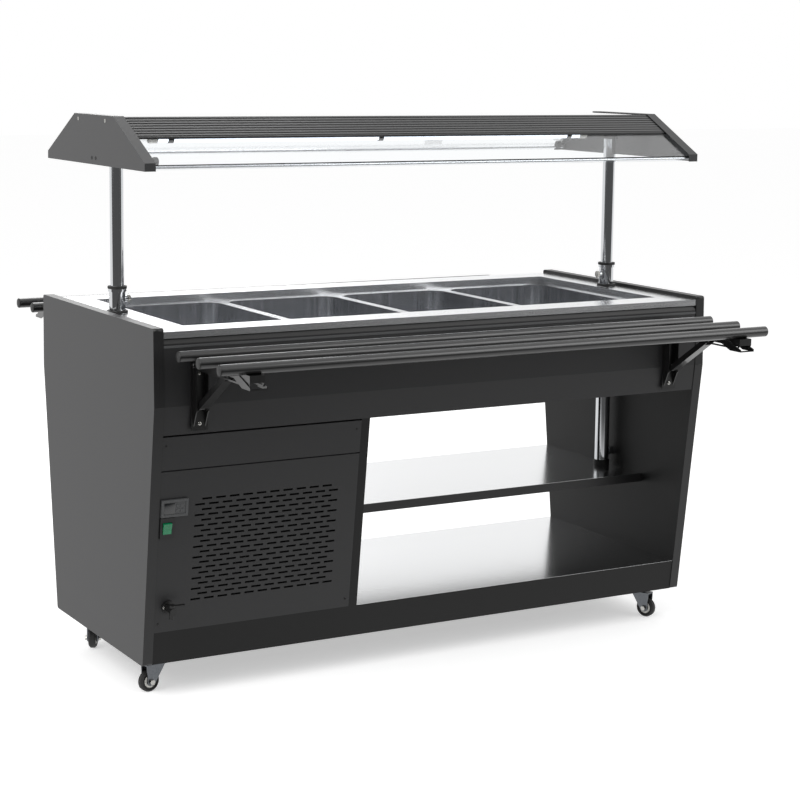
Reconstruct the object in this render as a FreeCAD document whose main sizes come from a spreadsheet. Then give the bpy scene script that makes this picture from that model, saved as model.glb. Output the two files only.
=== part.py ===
"""Mobile salad bar: a cabinet on castors with a four-pan cold well, fold-down tray slides on
both long sides and a lamp-lit hood whose posts slide in guide tubes.

Millimetres. The origin is on the floor under the middle of the cabinet. X runs along the
cabinet, -Y is the side with the controls, +Z is up.
"""
import FreeCAD, Part
import math
import os
import re
import Sketcher

# Driving sizes, in millimetres, degrees and counts. Each becomes one named cell of the sheet.
SIZES = {
    # end panels: their long edges lean out to the kink, then run in to the foot
    "body_width": 1500,
    "body_top": 860,
    "body_depth": 700,
    "kink_depth": 706,
    "kink_height": 686,
    "foot_depth": 552,
    "foot_height": 84,
    "panel_thickness": 24,
    "panel_corner": 6,
    # long-side boards, set in a little from the panels' edges
    "face_inset": 1,
    "fascia_bottom": 621,
    "fascia_thickness": 18,
    "fascia_bevel": 12,
    "bevel_depth": 6,
    "lower_board": 16,
    "shadow_gap": 4,
    "filler_height": 80,
    "groove_width": 3,
    "groove_depth": 4,
    # brick-pattern air slots in the lower panels
    "slot_length": 24,
    "slot_height": 4.5,
    "slot_pitch": 33.6,
    "row_pitch": 12.6,
    "slot_columns": 11,
    "row_pairs": 10,
    "rear_row_pairs": 4,
    "slots_left": -640,
    "slots_low": 68,
    # shelves, partition and base
    "board": 22,
    "partition_face": -208,
    "shelf_height": 365,
    "shelf_front": 138,
    "shelf_rear": 306,
    "base_height": 160,
    "plinth_board": 18,
    # stainless deck with its pan recess
    "deck_drop": 8,
    "sheet": 2,
    "rim_drop": 15,
    "recess_drop": 22,
    "recess_clearance": 1.5,
    "ledge": 9,
    "bar_width": 16,
    "bar_drop": 12,
    # gastronorm pans
    "pan_length": 530,
    "pan_width": 325,
    "pan_gap": 1,
    "pan_flange": 10,
    "pan_depth": 150,
    "pan_wall": 1.2,
    "pan_corner": 42,
    "pan_foot_corner": 16,
    "pan_shift": 8,
    "pan_lift": 0.3,
    # insulated well
    "well_jacket": 58,
    "well_floor": 35,
    "drain_bore": 12,
    "drain_across": -560,
    # guide tubes, posts and their clamp screws
    "post_spread": 694,
    "post_radius": 16,
    "post_bore": 14,
    "post_foot": 700,
    "post_clearance": 0.06,
    "guide_radius": 19,
    "guide_bore": 17.6,
    "guide_top": 915,
    "bush_radius": 21.5,
    "bush_height": 12,
    "bush_grip": 30,
    "collar_radius": 24,
    "collar_height": 6,
    "guide_foot_radius": 20,
    "guide_foot": 12,
    "clip_height": 20,
    "clip_width": 20,
    "clip_above_foot": 30,
    "socket_radius": 21,
    "socket_bottom": 1242,
    "clamp_height": 885,
    "clamp_radius": 3,
    "clamp_clearance": 0.06,
    "clamp_boss_radius": 7,
    "clamp_boss": 4,
    "clamp_neck": 2,
    "clamp_head_radius": 8,
    "clamp_head": 6,
    "clamp_tip_gap": 0.4,
    # hood
    "hood_length": 1498,
    "hood_peak": 1312,
    "hood_eaves": 1198,
    "hood_lip": 18,
    "hood_top_depth": 242,
    "hood_foot_depth": 612,
    "hood_flange": 26,
    "hood_gap": 0.3,
    "cap_thickness": 4,
    "cap_reach": 80,
    "rib_count": 8,
    "rib_depth": 1.4,
    "guard_thickness": 4,
    "guard_lap": 20,
    "rod_radius": 3,
    "rod_height": 1206,
    "lamp_length": 1230,
    "lamp_radius": 8,
    "lamp_cap_radius": 9.5,
    "lamp_cap": 22,
    "lamp_height": 1252,
    "lamp_clip_width": 14,
    "lamp_clip_spread": 560,
    # fold-down tray slides: wall leg, arm, brace and catch
    "bracket_spread": 643,
    "pivot_standoff": 16,
    "leg_seat": 0.3,
    "pivot_height": 776,
    "pin_radius": 4,
    "pin_clearance": 0.06,
    "leg_width": 40,
    "leg_rise": 12,
    "leg_fall": 146,
    "leg_plate": 2.5,
    "ear_outer": 15,
    "bracket_sheet": 2,
    "ear_reach": 9,
    "arm_gap": 0.5,
    "arm_length": 285,
    "arm_root": 7,
    "arm_rise": 18,
    "arm_fall": 7,
    "arm_nose": 7,
    "slot_half_width": 3.2,
    "brace_drop": 96,
    "brace_run": 150,
    "brace_pin_radius": 3,
    "brace_half_width": 11,
    "brace_half_height": 7,
    "brace_end": 8,
    "tray_tube_radius": 12.5,
    "tray_tube_wall": 1.5,
    "tray_tube_length": 1436,
    "tray_tube_first": 51,
    "tray_tube_spacing": 106,
    "tube_sink": 0.5,
    "catch_pivot": 215,
    "catch_rise": 11,
    "catch_pin_radius": 2,
    "catch_gap": 0.7,
    "catch_tip": 292,
    "catch_fall": 12,
    "catch_bar": 8,
    # controls on the lower front panel, measured up the panel from its foot
    "thermostat_across": -691,
    "thermostat_up": 296,
    "thermostat_width": 64,
    "thermostat_height": 40,
    "thermostat_proud": 6,
    "thermostat_back": 45,
    "cutout_rim": 4,
    "cutout_gap": 0.5,
    "display_depth": 1.5,
    "display_rim": 6,
    "switch_across": -707,
    "switch_up": 250,
    "switch_width": 34,
    "switch_height": 48,
    "switch_proud": 5,
    "switch_back": 14,
    "rocker_width": 20,
    "rocker_height": 25,
    "rocker_proud": 8,
    "rocker_depth": 4,
    "rocker_gap": 1.2,
    "rocker_tilt": 8,
    "rocker_pin": 1.5,
    "rocker_pin_reach": 1.4,
    "valve_across": -695,
    "valve_up": 60,
    "valve_flange_radius": 15,
    "valve_flange": 4,
    "valve_radius": 8,
    "valve_reach": 34,
    "valve_back": 40,
    "spout_radius": 6,
    "spout_drop": 20,
    "lever_hub_radius": 7,
    "lever_hub": 6,
    "lever_length": 30,
    "lever_width": 8,
    "lever_stem_radius": 3,
    # castors
    "castor_across": 682,
    "castor_along": 200,
    "castor_trail": 24,
    "castor_plate": 3,
    "castor_plate_side": 62,
    "castor_top": 78,
    "kingpin_radius": 5,
    "kingpin_foot": 59,
    "race_radius": 18,
    "race_gap": 0.5,
    "crown_height": 62,
    "crown_thickness": 3,
    "fork_gap": 2,
    "fork_sheet": 2.5,
    "wheel_radius": 25,
    "wheel_width": 18,
    "wheel_hub_radius": 9,
    "wheel_dish": 3,
    "wheel_round": 4,
    "axle_radius": 4,
    "running_clearance": 0.06,
    # cooling machine behind the slots
    "compressor_across": -555,
    "compressor_along": 60,
    "compressor_radius": 78,
    "compressor_height": 170,
    "compressor_foot": 12,
    "condenser_left": -430,
    "condenser_right": -250,
    "condenser_front": -215,
    "condenser_depth": 44,
    "condenser_height": 190,
    "fin_count": 12,
    "fin_thickness": 1.5,
    "coil_radius": 4.5,
    "coil_rows": 5,
    "shroud_depth": 46,
    "fan_radius": 76,
    "fan_clearance": 4,
    "fan_hub_radius": 20,
    "fan_hub_length": 22,
    "fan_blades": 5,
    "blade_thickness": 2,
    "blade_width": 38,
    "blade_pitch": 35,
    "motor_radius": 24,
    "motor_length": 40,
    "fan_shaft_radius": 4,
}

# Places worked out from the driving sizes.
PLACES = {
    "inner_half": "body_width / 2 - panel_thickness",
    "taper": "(kink_depth - foot_depth) / 2 / (kink_height - foot_height)",
    "lean": "atan(taper)",
    "deck_height": "body_top - deck_drop",
    "rim_bottom": "deck_height - rim_drop",
    "top_face": "body_depth / 2 - face_inset",
    "kink_face": "kink_depth / 2 - face_inset",
    "fascia_foot": "kink_face - (kink_height - fascia_bottom) * taper",
    "base_face": "kink_face - (kink_height - base_height) * taper",
    "foot_face": "foot_depth / 2 - face_inset",
    "lower_length": "(fascia_bottom - base_height) / cos(lean) - shadow_gap",
    "pan_pitch": "pan_width + pan_gap",
    "recess_half_length": "2 * pan_pitch",
    "recess_half_depth": "pan_length / 2 + recess_clearance",
    "ledge_height": "deck_height - recess_drop",
    "ledge_bottom": "ledge_height - sheet",
    "pan_seat": "ledge_height + pan_lift",
    "hood_half": "hood_length / 2",
    "hood_top_half": "hood_top_depth / 2",
    "hood_foot_half": "hood_foot_depth / 2",
    "hood_shoulder": "hood_eaves + hood_lip",
    "hood_fall": "(hood_peak - hood_shoulder) / (hood_foot_half - hood_top_half)",
    "hood_stretch": "sqrt(1 + hood_fall ^ 2)",
    "cap_depth": "sheet + hood_gap",
    "guard_depth": "cap_depth + cap_thickness + hood_gap",
    "cap_edge": "hood_top_half + cap_reach",
    "hood_ceiling": "hood_peak - cap_depth - cap_thickness",
    "guard_outer": "hood_foot_half - sheet - guard_thickness",
    "rod_along": "guard_outer - guard_thickness - hood_gap - rod_radius",
    "arm_inner": "ear_outer + arm_gap",
    "arm_outer": "arm_inner + bracket_sheet",
    "brace_length": "sqrt(brace_drop ^ 2 + brace_run ^ 2)",
    "brace_angle": "atan(brace_run / brace_drop)",
    "folded_reach": "brace_length + brace_drop",
    "catch_inner": "arm_outer + catch_gap",
    "catch_outer": "catch_inner + bracket_sheet",
    "plate_bottom": "castor_top - castor_plate",
    "cheek_inner": "wheel_width / 2 + fork_gap",
    "cheek_outer": "cheek_inner + fork_sheet",
    "condenser_middle": "(condenser_left + condenser_right) / 2",
    "condenser_back": "condenser_front + condenser_depth",
    "fan_height": "base_height + condenser_height / 2",
    "fan_along": "condenser_back + shroud_depth / 2",
}

NAME = re.compile(r"[A-Za-z_][A-Za-z_0-9]*")
MIRROR = {"left": "-1", "right": "1", "front": "-1", "rear": "1"}

doc = FreeCAD.newDocument("SaladBar")
sheet = doc.addObject("Spreadsheet::Sheet", "Sizes")
for row, (alias, size) in enumerate(SIZES.items(), start=1):
    sheet.set("A%d" % row, alias)
    sheet.set("B%d" % row, str(size))
    sheet.setAlias("B%d" % row, alias)
doc.recompute()


def link(expression):
    """Spell out the worked-out places, then point each size at its cell."""
    def spell(match):
        name = match.group()
        if name in PLACES:
            return "(" + NAME.sub(spell, PLACES[name]) + ")"
        return "Sizes." + name if name in SIZES else name
    return NAME.sub(spell, expression)


def value(expression):
    """Give the present value of an expression, for a sketch's first drawing."""
    return float(sheet.evalExpression(link(expression)))


def box(u_low, v_low, u_high, v_high):
    """Corners of an upright rectangle in a sketch."""
    return [(u_low, v_low), (u_high, v_low), (u_high, v_high), (u_low, v_high)]


def mirrored(half):
    """Close an outline that is given on its +Y side only."""
    return half + [("-1 * (%s)" % y, z) for y, z in reversed(half)]


def framed(name, inset):
    """Rectangle round a control's middle, set in from its own bezel."""
    wide, tall = "(%s_width / 2 - (%s))" % (name, inset), "(%s_height / 2 - (%s))" % (name, inset)
    across, up = name + "_across", name + "_up"
    return box(across + " - " + wide, up + " - " + tall, across + " + " + wide, up + " + " + tall)


def draw_outline(sketch, corners):
    """Draw one closed outline whose corners are tied to the sheet."""
    first = sketch.GeometryCount
    count = len(corners)
    points = [FreeCAD.Vector(value(u), value(v), 0) for u, v in corners]
    for step in range(count):
        sketch.addGeometry(Part.LineSegment(points[step], points[(step + 1) % count]))
    ties = [Sketcher.Constraint("Coincident", first + step, 2, first + (step + 1) % count, 1)
            for step in range(count)]
    expressions = [None] * count
    for step, (u, v) in enumerate(corners):
        ties.append(Sketcher.Constraint("DistanceX", -1, 1, first + step, 1, points[step].x))
        ties.append(Sketcher.Constraint("DistanceY", -1, 1, first + step, 1, points[step].y))
        expressions += [u, v]
    numbers = sketch.addConstraint(ties)
    for number, expression in zip(numbers, expressions):
        if expression:
            sketch.setExpression("Constraints[%d]" % number, link(expression))


def draw_circle(sketch, u, v, radius):
    """Draw one circle whose centre and radius are tied to the sheet."""
    centre = FreeCAD.Vector(value(u), value(v), 0)
    circle = sketch.addGeometry(Part.Circle(centre, FreeCAD.Vector(0, 0, 1), value(radius)))
    ties = [Sketcher.Constraint("DistanceX", -1, 1, circle, 3, centre.x),
            Sketcher.Constraint("DistanceY", -1, 1, circle, 3, centre.y),
            Sketcher.Constraint("Radius", circle, value(radius))]
    for number, expression in zip(sketch.addConstraint(ties), (u, v, radius)):
        sketch.setExpression("Constraints[%d]" % number, link(expression))


def draw_rounded(sketch, left, low, right, high, radius):
    """Draw an upright rectangle with round corners, tied to the sheet."""
    inner_left, inner_right = "%s + %s" % (left, radius), "%s - (%s)" % (right, radius)
    inner_low, inner_high = "%s + %s" % (low, radius), "%s - (%s)" % (high, radius)
    ends = [(inner_left, low), (inner_right, low), (right, inner_low), (right, inner_high),
            (inner_right, high), (inner_left, high), (left, inner_high), (left, inner_low)]
    centres = [(inner_right, inner_low), (inner_right, inner_high),
               (inner_left, inner_high), (inner_left, inner_low)]
    points = [FreeCAD.Vector(value(u), value(v), 0) for u, v in ends]
    lines = [sketch.addGeometry(Part.LineSegment(points[2 * side], points[2 * side + 1])) for side in range(4)]
    ties, expressions = [], []
    for side, (u, v) in enumerate(centres):
        circle = Part.Circle(FreeCAD.Vector(value(u), value(v), 0), FreeCAD.Vector(0, 0, 1), value(radius))
        quarter = math.pi / 2
        arc = sketch.addGeometry(Part.ArcOfCircle(circle, (side - 1) * quarter, side * quarter))
        ties += [Sketcher.Constraint("Coincident", lines[side], 2, arc, 1),
                 Sketcher.Constraint("Coincident", arc, 2, lines[(side + 1) % 4], 1),
                 Sketcher.Constraint("Radius", arc, value(radius))]
        expressions += [None, None, radius]
    for number, (u, v) in enumerate(ends):
        line, end = lines[number // 2], number % 2 + 1
        ties += [Sketcher.Constraint("DistanceX", -1, 1, line, end, points[number].x),
                 Sketcher.Constraint("DistanceY", -1, 1, line, end, points[number].y)]
        expressions += [u, v]
    for number, expression in zip(sketch.addConstraint(ties), expressions):
        if expression:
            sketch.setExpression("Constraints[%d]" % number, link(expression))


def draw(body, plane, distance, shapes):
    """Put a sketch on one of the body's own planes, a distance along the plane's normal."""
    sketch = body.newObject("Sketcher::SketchObject", body.Name + "_sketch")
    support = next(item for item in body.Origin.OriginFeatures if item.Role == plane + "_Plane")
    sketch.AttachmentSupport = [(support, "")]
    sketch.MapMode = "FlatFace"
    sketch.setExpression("AttachmentOffset.Base.z", link(distance))
    for shape in shapes:
        if isinstance(shape, list):
            draw_outline(sketch, shape)
        elif len(shape) == 3:
            draw_circle(sketch, *shape)
        else:
            draw_rounded(sketch, *shape)
    return sketch


def pad(body, plane, start, length, *shapes):
    """Add the shapes between start and start + length. The XZ plane's normal is -Y."""
    feature = body.newObject("PartDesign::Pad", body.Name + "_pad")
    feature.Profile = draw(body, plane, start, shapes)
    feature.setExpression("Length", link(length))
    return feature


def pocket(body, plane, start, length, *shapes):
    """Cut the shapes away between start and start + length."""
    sketch = draw(body, plane, "(%s) + (%s)" % (start, length), shapes)
    feature = body.newObject("PartDesign::Pocket", body.Name + "_pocket")
    feature.Profile = sketch
    feature.setExpression("Length", link(length))
    return feature


def turn(body, plane, axis, outline):
    """Revolve an outline a full turn about the sketch's own H_Axis or V_Axis."""
    sketch = draw(body, plane, "0", [outline])
    feature = body.newObject("PartDesign::Revolution", body.Name + "_turned")
    feature.Profile = sketch
    feature.ReferenceAxis = (sketch, [axis])
    feature.Angle = 360
    return feature


def grid(body, feature, across, columns, up, rows):
    """Repeat a feature along its sketch's two axes."""
    pattern = body.newObject("PartDesign::LinearPattern", body.Name + "_grid")
    pattern.Originals = [feature]
    sketch = feature.Profile[0]
    pattern.Direction = (sketch, ["H_Axis"])
    pattern.setExpression("Length", link("(%s - 1) * %s" % (columns, across)))
    pattern.setExpression("Occurrences", link(columns))
    pattern.Direction2 = (sketch, ["V_Axis"])
    pattern.setExpression("Length2", link("(%s - 1) * %s" % (rows, up)))
    pattern.setExpression("Occurrences2", link(rows))
    body.Tip = pattern
    return pattern


def soften(body, kind, size, chosen):
    """Fillet or chamfer the edges of the body's tip that the test picks out."""
    doc.recompute()
    base = body.Tip
    names = ["Edge%d" % number for number, edge in enumerate(base.Shape.Edges, start=1) if chosen(edge)]
    feature = body.newObject("PartDesign::" + kind, body.Name + "_" + kind.lower())
    feature.Base = (base, names)
    feature.setExpression("Radius" if kind == "Fillet" else "Size", link(size))
    return feature


def along_x(edge):
    """True for a straight edge that runs along X."""
    first, last = edge.Vertexes[0].Point, edge.Vertexes[-1].Point
    return abs(first.y - last.y) + abs(first.z - last.z) < 0.01 and first != last


def place(body, x="0", y="0", z="0", axis=None, angle="0"):
    """Tie the body's placement to the sheet."""
    for letter, expression in zip("xyz", (x, y, z)):
        body.setExpression("Placement.Base." + letter, link(expression))
    if axis:
        for letter in "xyz":
            body.setExpression("Placement.Rotation.Axis." + letter, "1" if letter == axis else "0")
        body.setExpression("Placement.Rotation.Angle", link(angle))


def new_body(label):
    body = doc.addObject("PartDesign::Body", label)
    body.Label = label
    return body


# ---- cabinet -------------------------------------------------------------------------------

def end_panel(hand):
    body = new_body("end_panel_" + hand)
    half = [("body_depth / 2", "body_top"), ("kink_depth / 2", "kink_height"),
            ("foot_depth / 2", "foot_height")]
    pad(body, "YZ", "0", "panel_thickness", mirrored(half))
    soften(body, "Fillet", "panel_corner", along_x)
    place(body, x="-body_width / 2" if hand == "left" else "inner_half")


def fascia(side):
    """Upper long-side board: bevelled under the deck rim, bent in below the kink."""
    body = new_body(side + "_fascia")
    out = MIRROR[side]
    outline = [("top_face - bevel_depth", "rim_bottom"), ("top_face", "rim_bottom - fascia_bevel"),
               ("kink_face", "kink_height"), ("fascia_foot", "fascia_bottom"),
               ("fascia_foot - fascia_thickness", "fascia_bottom"),
               ("top_face - fascia_thickness", "kink_height"), ("top_face - fascia_thickness", "rim_bottom")]
    pad(body, "YZ", "-inner_half", "2 * inner_half", [(out + " * (%s)" % y, z) for y, z in outline])


def lower_panel(side):
    """Leaning board of the machine bay, with its filler groove and rows of air slots."""
    body = new_body(side + "_grille")
    front = side == "front"
    inside = "-lower_board" if front else "0"
    pad(body, "XZ", inside, "lower_board", box("-inner_half", "0", "partition_face - board", "lower_length"))
    groove = "lower_length - filler_height"
    pocket(body, "XZ", "-groove_depth" if front else "0", "groove_depth",
           box("-inner_half", groove, "partition_face - board", groove + " + groove_width"))
    for shift in ("0", "1"):
        left = "slots_left + %s * slot_pitch / 2" % shift
        low = "slots_low + %s * row_pitch" % shift
        slot = pocket(body, "XZ", inside, "lower_board",
                      box(left, low, left + " + slot_length", low + " + slot_height"))
        grid(body, slot, "slot_pitch", "slot_columns - " + shift,
             "2 * row_pitch", "row_pairs" if front else "rear_row_pairs")
    if front:
        for name in ("thermostat", "switch"):
            pocket(body, "XZ", inside, "lower_board", framed(name, "cutout_rim - cutout_gap"))
        pocket(body, "XZ", inside, "lower_board", ("valve_across", "valve_up", "valve_radius + cutout_gap"))
    on_lower_panel(body, side)


def on_lower_panel(body, side="front"):
    """Lay a body's own frame on the face of a lower panel, origin at the panel's foot."""
    out = MIRROR[side]
    place(body, y=out + " * base_face", z="base_height", axis="x", angle="-1 * %s * lean" % out)


def partition():
    """Upright board that closes the machine bay off from the open shelves."""
    body = new_body("partition")
    pad(body, "YZ", "partition_face - board", "board",
        mirrored([("fascia_foot", "fascia_bottom"), ("base_face", "base_height")]))


def middle_shelf():
    body = new_body("middle_shelf")
    pad(body, "XY", "shelf_height - board", "board",
        box("partition_face", "-shelf_front", "inner_half", "shelf_rear"))


def base():
    """Bottom board with both plinths, the castor blocks and their plates and kingpins."""
    body = new_body("base")
    inner = "(foot_face - plinth_board)"
    pad(body, "XY", "base_height - board", "board", box("-inner_half", "-" + inner, "inner_half", inner))
    for out in ("-1", "1"):
        plinth = [("base_face", "base_height"), ("foot_face", "foot_height"),
                  (inner, "foot_height"), (inner, "base_height")]
        pad(body, "YZ", "-inner_half", "2 * inner_half", [(out + " * (%s)" % y, z) for y, z in plinth])
    for side_x in ("-1", "1"):
        for side_y in ("-1", "1"):
            x, y = side_x + " * castor_across", side_y + " * castor_along"
            half = "castor_plate_side / 2"
            square = box(x + " - " + half, y + " - " + half, x + " + " + half, y + " + " + half)
            pad(body, "XY", "plate_bottom", "base_height - board - plate_bottom", square)
            pad(body, "XY", "kingpin_foot", "plate_bottom - kingpin_foot", (x, y, "kingpin_radius"))


def deck():
    """Folded stainless top: plate with turned-down rims, pan recess, ledge and cross bars."""
    body = new_body("deck")
    left, right = "pan_shift - recess_half_length", "pan_shift + recess_half_length"
    recess = box(left, "-recess_half_depth", right, "recess_half_depth")
    skirt = box(left + " - sheet", "-recess_half_depth - sheet", right + " + sheet", "recess_half_depth + sheet")
    mouth = box(left + " + ledge", "-recess_half_depth + ledge", right + " - ledge", "recess_half_depth - ledge")
    holes = [(side + " * post_spread", "0", "guide_radius") for side in ("-1", "1")]
    pad(body, "XY", "deck_height - sheet", "sheet",
        box("-inner_half", "-top_face", "inner_half", "top_face"), recess, *holes)
    pad(body, "XY", "ledge_bottom", "recess_drop", skirt, recess)
    pad(body, "XY", "ledge_bottom", "sheet", skirt, mouth)
    for out in ("-1", "1"):
        pad(body, "XY", "rim_bottom", "rim_drop - sheet",
            box("-inner_half", out + " * top_face", "inner_half", out + " * (top_face - sheet)"))
    for step in ("-1", "0", "1"):
        middle = "pan_shift + %s * pan_pitch" % step
        pad(body, "XY", "ledge_bottom", "sheet",
            box(middle + " - bar_width / 2", "-recess_half_depth", middle + " + bar_width / 2", "recess_half_depth"))
        for edge in ("-bar_width / 2", "bar_width / 2 - sheet"):
            pad(body, "XY", "ledge_bottom - bar_drop", "bar_drop",
                box(middle + " + " + edge, "ledge - recess_half_depth",
                    middle + " + " + edge + " + sheet", "recess_half_depth - ledge"))


def well():
    """Insulated tub under the pans, with a drain hole in its floor."""
    body = new_body("well")
    half_out = "(recess_half_length + sheet)"
    half_in = "(recess_half_length - ledge)"
    deep_in = "(recess_half_depth - ledge)"
    deep_out = "(%s + well_jacket)" % deep_in
    pad(body, "XY", "fascia_bottom", "ledge_bottom - fascia_bottom",
        box("pan_shift - " + half_out, "-" + deep_out, "pan_shift + " + half_out, deep_out))
    pocket(body, "XY", "fascia_bottom + well_floor", "ledge_bottom - fascia_bottom - well_floor",
           box("pan_shift - " + half_in, "-" + deep_in, "pan_shift + " + half_in, deep_in))
    pocket(body, "XY", "fascia_bottom", "well_floor", ("drain_across", "0", "drain_bore"))


def pan(number):
    """Gastronorm pan: deep-drawn tub with rounded corners under a flat flange."""
    body = new_body("pan_%d" % number)

    def tub(inset, radius):
        half_width, half_length = "(pan_width / 2 - (%s))" % inset, "(pan_length / 2 - (%s))" % inset
        return ("-" + half_width, "-" + half_length, half_width, half_length, radius)

    def at_depth(depth):
        level = -value(depth)
        return lambda edge: abs(edge.BoundBox.ZMin - level) + abs(edge.BoundBox.ZMax - level) < 0.01

    outer = tub("pan_flange", "pan_corner + pan_wall")
    inner = tub("pan_flange + pan_wall", "pan_corner")
    pad(body, "XY", "-pan_depth", "pan_depth", outer)
    pad(body, "XY", "0", "pan_wall", tub("0", "pan_wall"))
    pocket(body, "XY", "pan_wall - pan_depth", "pan_depth", inner)
    soften(body, "Fillet", "pan_foot_corner", at_depth("pan_depth - pan_wall"))
    soften(body, "Fillet", "pan_foot_corner + pan_wall", at_depth("pan_depth"))
    place(body, x="pan_shift + (%s - 2.5) * pan_pitch" % number, z="pan_seat")


# ---- height-adjustable hood ----------------------------------------------------------------

def guide_tube(hand):
    """Outer tube through the deck: bush at the mouth, collar on the deck, foot on the shelf."""
    body = new_body("guide_tube_" + hand)
    out = MIRROR[hand]
    foot, floor = "shelf_height", "shelf_height + guide_foot / 2"
    bush = "(post_radius + post_clearance)"
    outline = [("0", foot), ("guide_foot_radius", foot), ("guide_foot_radius", foot + " + guide_foot"),
               ("guide_radius", foot + " + guide_foot"), ("guide_radius", "deck_height"),
               ("collar_radius", "deck_height"), ("collar_radius", "deck_height + collar_height"),
               ("guide_radius", "deck_height + collar_height"), ("guide_radius", "guide_top - bush_height"),
               ("bush_radius", "guide_top - bush_height"), ("bush_radius", "guide_top"), (bush, "guide_top"),
               (bush, "guide_top - bush_grip"), ("guide_bore", "guide_top - bush_grip"),
               ("guide_bore", floor), ("0", floor)]
    turn(body, "XZ", "V_Axis", outline)
    wall = "(inner_half - post_spread)"
    pad(body, "XY", foot + " + clip_above_foot", "clip_height",
        box(out + " * (guide_radius - 1)", "-clip_width / 2", out + " * " + wall, "clip_width / 2"))
    boss_low = "guide_radius - 1" if hand == "left" else "-guide_radius - clamp_boss"
    pad(body, "YZ", boss_low, "clamp_boss + 1", ("0", "clamp_height", "clamp_boss_radius"))
    bore_low = "post_radius - 1" if hand == "left" else "-guide_radius - clamp_boss - 1"
    pocket(body, "YZ", bore_low, "guide_radius - post_radius + clamp_boss + 2",
           ("0", "clamp_height", "clamp_radius + clamp_clearance"))
    place(body, x=out + " * post_spread")


def clamp_screw(hand):
    """Thumb screw that grips the post through the guide tube's boss, from the hood's middle."""
    body = new_body("clamp_screw_" + hand)
    tip = "(post_radius + clamp_tip_gap)"
    shoulder = "(guide_radius + clamp_boss + clamp_tip_gap)"
    outline = [(tip, "0"), (tip, "clamp_radius"), (shoulder, "clamp_radius"), (shoulder, "clamp_boss_radius - 1"),
               (shoulder + " + clamp_neck", "clamp_boss_radius - 2"), (shoulder + " + clamp_neck", "clamp_head_radius"),
               (shoulder + " + clamp_neck + clamp_head", "clamp_head_radius"),
               (shoulder + " + clamp_neck + clamp_head", "0")]
    inward = "1" if hand == "left" else "-1"
    turn(body, "XZ", "H_Axis", [(inward + " * (%s)" % x, radius) for x, radius in outline])
    place(body, x=MIRROR[hand] + " * post_spread", z="clamp_height")


def post(hand):
    """Inner tube of the telescope, topped by a dark socket under the hood."""
    body = new_body("post_" + hand)
    outline = [("post_bore", "post_foot"), ("post_radius", "post_foot"), ("post_radius", "socket_bottom"),
               ("socket_radius", "socket_bottom"), ("socket_radius", "hood_ceiling"), ("post_bore", "hood_ceiling")]
    turn(body, "XZ", "V_Axis", outline)
    place(body, x=MIRROR[hand] + " * post_spread")


def on_slope(y, depth):
    """Height of a line that lies a depth under the hood's slope, at a distance y from the middle."""
    return "hood_peak - ((%s) - hood_top_half) * hood_fall - (%s) * hood_stretch" % (y, depth)


def crest(depth):
    """Distance from the middle at which a line under the slope meets the same depth under the top."""
    return "hood_top_half - (hood_stretch - 1) / hood_fall * (%s)" % depth


def hood_end(hand):
    """End plate pressed from sheet, its top, slopes and lips turned inwards as a flange."""
    body = new_body("hood_end_" + hand)
    out = MIRROR[hand]
    outer = [("hood_top_half", "hood_peak"), ("hood_foot_half", "hood_shoulder"), ("hood_foot_half", "hood_eaves")]
    foot = "hood_foot_half - sheet"
    inner = [(crest("sheet"), "hood_peak - sheet"), (foot, on_slope(foot, "sheet")), (foot, "hood_eaves - 1")]
    left = hand == "left"
    pad(body, "YZ", "0" if left else "-hood_flange", "hood_flange", mirrored(outer))
    pocket(body, "YZ", "sheet" if left else "-hood_flange - 1", "hood_flange + 1 - sheet", mirrored(inner))
    place(body, x=out + " * hood_half")


def hood_cap():
    """Extruded top: flat crown and ribbed shoulders part of the way down both slopes."""
    body = new_body("hood_top")
    half = [(crest("cap_depth"), "hood_peak - cap_depth")]
    ribs = int(value("rib_count"))
    for rib in range(ribs):
        for share, depth in ((0.15, "0"), (0.15, "rib_depth"), (0.6, "rib_depth"), (0.6, "0")):
            y = "hood_top_half + cap_reach * %g / rib_count" % (rib + share + 0.2)
            half.append((y, on_slope(y, "cap_depth + " + depth)))
    half.append(("cap_edge", on_slope("cap_edge", "cap_depth")))
    half.append(("cap_edge", on_slope("cap_edge", "cap_depth + cap_thickness")))
    half.append((crest("cap_depth + cap_thickness"), "hood_ceiling"))
    pad(body, "YZ", "sheet + hood_gap - hood_half", "hood_length - 2 * (sheet + hood_gap)", mirrored(half))


def guard(side):
    """Clear sheet under the cap's edge, bent down to a lip at the eaves."""
    body = new_body(side + "_guard")
    out = MIRROR[side]
    head = "cap_edge - guard_lap"
    bottom = "hood_eaves + sheet"
    outline = [(head, on_slope(head, "guard_depth")), ("guard_outer", on_slope("guard_outer", "guard_depth")),
               ("guard_outer", bottom), ("guard_outer - guard_thickness", bottom),
               ("guard_outer - guard_thickness",
                on_slope("guard_outer - guard_thickness", "guard_depth + guard_thickness")),
               (head, on_slope(head, "guard_depth + guard_thickness"))]
    pad(body, "YZ", "sheet + hood_gap - hood_half", "hood_length - 2 * (sheet + hood_gap)",
        [(out + " * (%s)" % y, z) for y, z in outline])


def rod(side):
    """Thin tie rod between the end plates behind a guard's lip."""
    body = new_body(side + "_rod")
    pad(body, "YZ", "sheet - hood_half", "hood_length - 2 * sheet",
        (MIRROR[side] + " * rod_along", "rod_height", "rod_radius"))


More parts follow.
